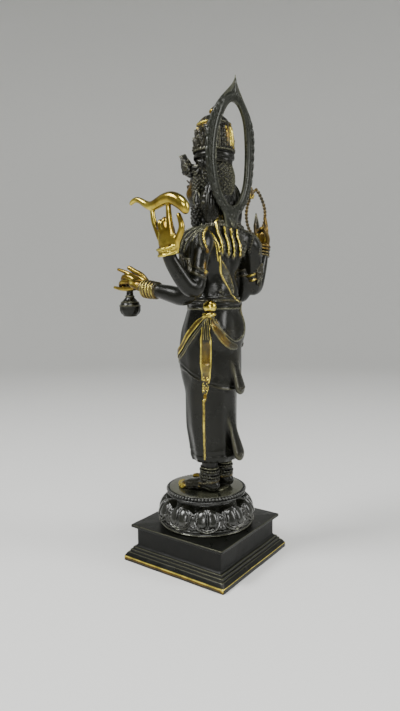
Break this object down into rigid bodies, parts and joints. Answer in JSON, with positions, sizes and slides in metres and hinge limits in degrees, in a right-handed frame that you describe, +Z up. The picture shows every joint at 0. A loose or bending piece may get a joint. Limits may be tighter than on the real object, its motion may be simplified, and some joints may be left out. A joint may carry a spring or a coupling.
{
  "type": "brahma figure",
  "caption": "Standing bronze temple figure of a four-armed crowned deity on a round lotus pedestal and square stepped plinth, with a pointed oval halo.",
  "frame": {"origin": "middle of the plinth's underside", "axes": "+Z up, figure faces -Y, its left side is +X"},
  "size_m": [0.1763, 0.1333, 0.4646],
  "materials": {
    "plinth": "dark brown-black patina, edges worn to gold",
    "lotus_pedestal": "dark brown-black patina, worn smooth on top",
    "figure": "dark brown-black patina, rubbed to gold on the raised work",
    "halo": "dark grey-brown patina, polished inner rib"
  },
  "bodies": {
    "root": {"plinth": "plinth", "lotus_pedestal": "lotus_pedestal", "figure": "figure", "halo": "halo"}
  },
  "joints": []
}
